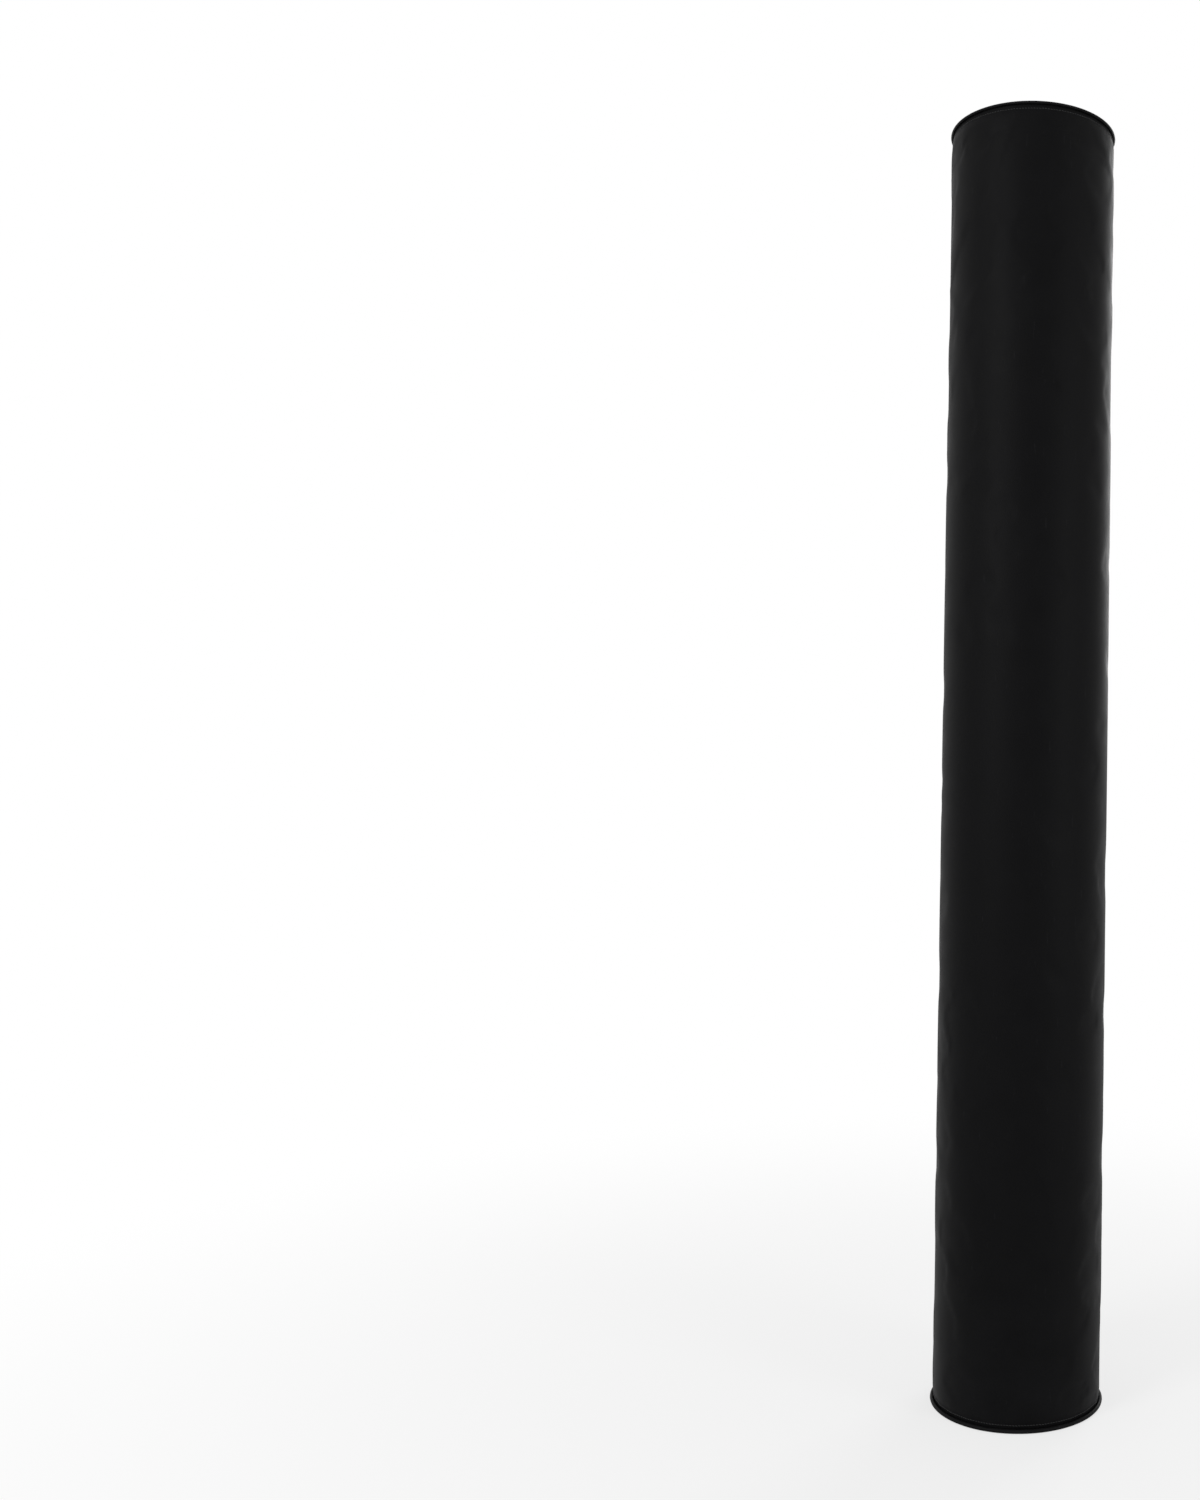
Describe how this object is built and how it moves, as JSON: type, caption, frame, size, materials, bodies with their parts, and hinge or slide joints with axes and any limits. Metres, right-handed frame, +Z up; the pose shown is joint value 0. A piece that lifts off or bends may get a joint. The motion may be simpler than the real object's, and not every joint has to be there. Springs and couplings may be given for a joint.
{
  "type": "pole pad",
  "caption": "Tall split foam sleeve in a black vinyl cover with piped rims, wrapped round a goal pole and closed behind with a hook-and-loop flap.",
  "frame": {"origin": "centre of the bore at the underside of the bottom end panel, where the pad stands", "axes": "+Z up along the bore's axis, +Y towards the slit and its flap at the back, so the plain front faces -Y"},
  "size_m": [0.2688, 0.2692, 2],
  "materials": {
    "cover_vinyl": "satin",
    "foam": "matte",
    "lining_cloth": "matte",
    "piping_vinyl": "satin",
    "hook_and_loop": "matte",
    "binding_tape": "matte"
  },
  "bodies": {
    "main": {"main_foam_inner": "foam", "main_foam_outer": "foam", "front_foam_outer": "foam", "main_cover": "cover_vinyl", "main_lining": "lining_cloth", "main_bottom_panel": "cover_vinyl", "main_top_panel": "cover_vinyl", "main_bottom_piping": "piping_vinyl", "main_top_piping": "piping_vinyl", "loop_strip": "hook_and_loop"},
    "wing": {"wing_foam_inner": "foam", "wing_foam_outer": "foam", "wing_cover": "cover_vinyl", "wing_lining": "lining_cloth", "wing_bottom_panel": "cover_vinyl", "wing_top_panel": "cover_vinyl", "wing_bottom_piping": "piping_vinyl", "wing_top_piping": "piping_vinyl", "flap_sewn_edge": "cover_vinyl"},
    "flap": {"closure_flap": "cover_vinyl", "hook_strip": "hook_and_loop", "flap_binding": "binding_tape"}
  },
  "joints": [
    {"name": "wing_fold", "type": "hinge", "parent": "main", "child": "wing", "pos_m": [-0.06505, -0.11267, 0], "axis": [0, 0, 1], "range_deg": [0, 110]},
    {"name": "flap_fold", "type": "hinge", "parent": "wing", "child": "flap", "pos_m": [-0.03522, 0.12773, 0], "axis": [0, 0, 1], "range_deg": [0, 150]}
  ]
}
